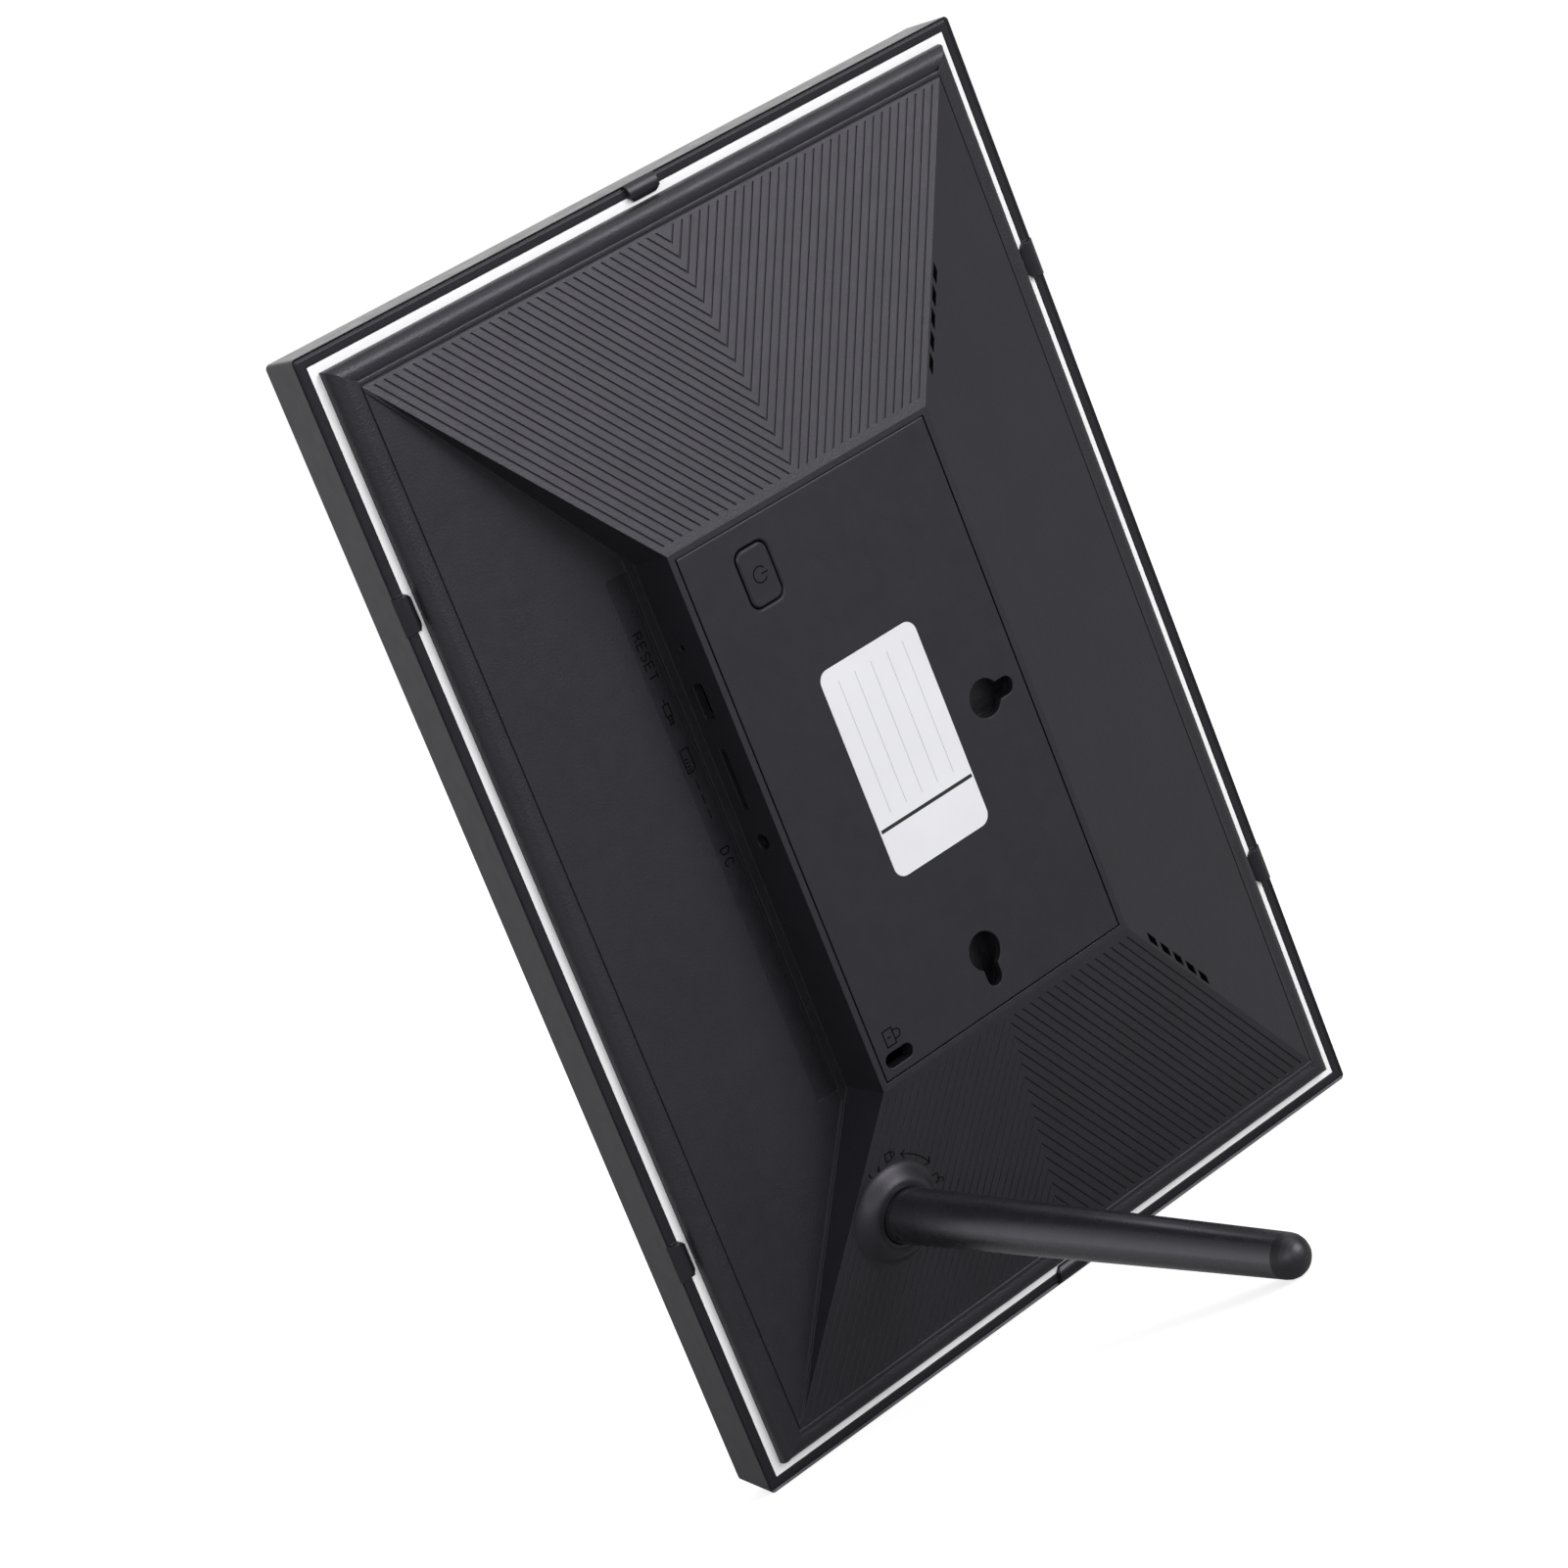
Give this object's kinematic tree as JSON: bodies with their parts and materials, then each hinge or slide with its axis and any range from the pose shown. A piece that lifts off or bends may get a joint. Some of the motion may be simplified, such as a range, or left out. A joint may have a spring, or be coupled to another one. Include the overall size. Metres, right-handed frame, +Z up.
{
  "type": "digital photo frame",
  "caption": "Tabletop digital photo frame with a white mat, tapered four-sided back, side bay of sockets, keyholes for wall hanging, power button and twist-lock stand leg.",
  "frame": {"origin": "centre of the footprint on the surface the frame stands on", "axes": "+Z up, screen faces -Y, sockets on the +X side, stand leg towards +Y"},
  "size_m": [0.1836, 0.138, 0.2587],
  "materials": {
    "frame_black": "fine satin black",
    "mat_white": "smooth white",
    "tape": "black adhesive foam tape",
    "glass": "clear polished sheet",
    "screen": "screen, off",
    "light_guide": "white plastic frame and light guide",
    "steel": "plain sheet",
    "screw_steel": "zinc plated",
    "ribbon": "amber film",
    "cover_black": "fine matt texture",
    "plate_black": "fine matt texture",
    "label": "smooth white film",
    "button_black": "satin",
    "switch_black": "moulded",
    "switch_grey": "moulded",
    "board_green": "solder mask",
    "chip_black": "moulded",
    "connector_white": "moulded",
    "socket_metal": "stamped",
    "socket_black": "moulded",
    "lead_black": "extruded",
    "speaker_black": "moulded",
    "foam": "open foam",
    "socket_plastic": "moulded",
    "leg_black": "satin gloss",
    "tip_rubber": "soft matt"
  },
  "bodies": {
    "frame_body": {"outer_frame": "frame_black", "mat_bezel": "mat_white", "glass_tape": "tape", "cover_glass": "glass", "lcd_panel": "screen", "lcd_backlight": "light_guide", "lcd_back_plate": "steel", "lcd_clamps": "steel", "clamp_screws": "screw_steel", "lcd_ribbon": "ribbon", "rear_cover": "cover_black", "centre_plate": "plate_black", "spec_label": "label", "power_switch": "switch_black", "reset_switch": "switch_black", "main_board": "board_green", "board_screws": "screw_steel", "shield_can": "steel", "board_chips": "chip_black", "display_connector": "connector_white", "usb_socket": "socket_metal", "card_socket": "socket_metal", "power_socket": "socket_black", "speaker_sockets": "connector_white", "speaker_leads": "lead_black", "speaker_upper": "speaker_black", "speaker_lower": "speaker_black", "speaker_gaskets": "foam", "wifi_antenna": "board_green", "antenna_lead": "lead_black", "stand_socket": "socket_plastic", "socket_screws": "screw_steel"},
    "button_body": {"power_button": "button_black", "power_switch_plunger": "switch_grey"},
    "reset_body": {"reset_plunger": "switch_grey"},
    "leg_body": {"stand_leg": "leg_black", "leg_tip": "tip_rubber"}
  },
  "joints": [
    {"name": "power_button_press", "type": "slide", "parent": "frame_body", "child": "button_body", "axis": [0, -0.9694, 0.2457], "range_m": [0, 0.0004], "stiffness_N_per_m": 2500, "springref_m": -0.0004},
    {"name": "reset_press", "type": "slide", "parent": "frame_body", "child": "reset_body", "axis": [-1, 0, 0], "range_m": [0, 0.0003], "stiffness_N_per_m": 2500, "springref_m": -0.0004},
    {"name": "leg_twist", "type": "hinge", "parent": "frame_body", "child": "leg_body", "pos_m": [0.0423, -0.03664, 0.03799], "axis": [0.1457, -0.9397, 0.3093], "range_deg": [0, 75]}
  ]
}
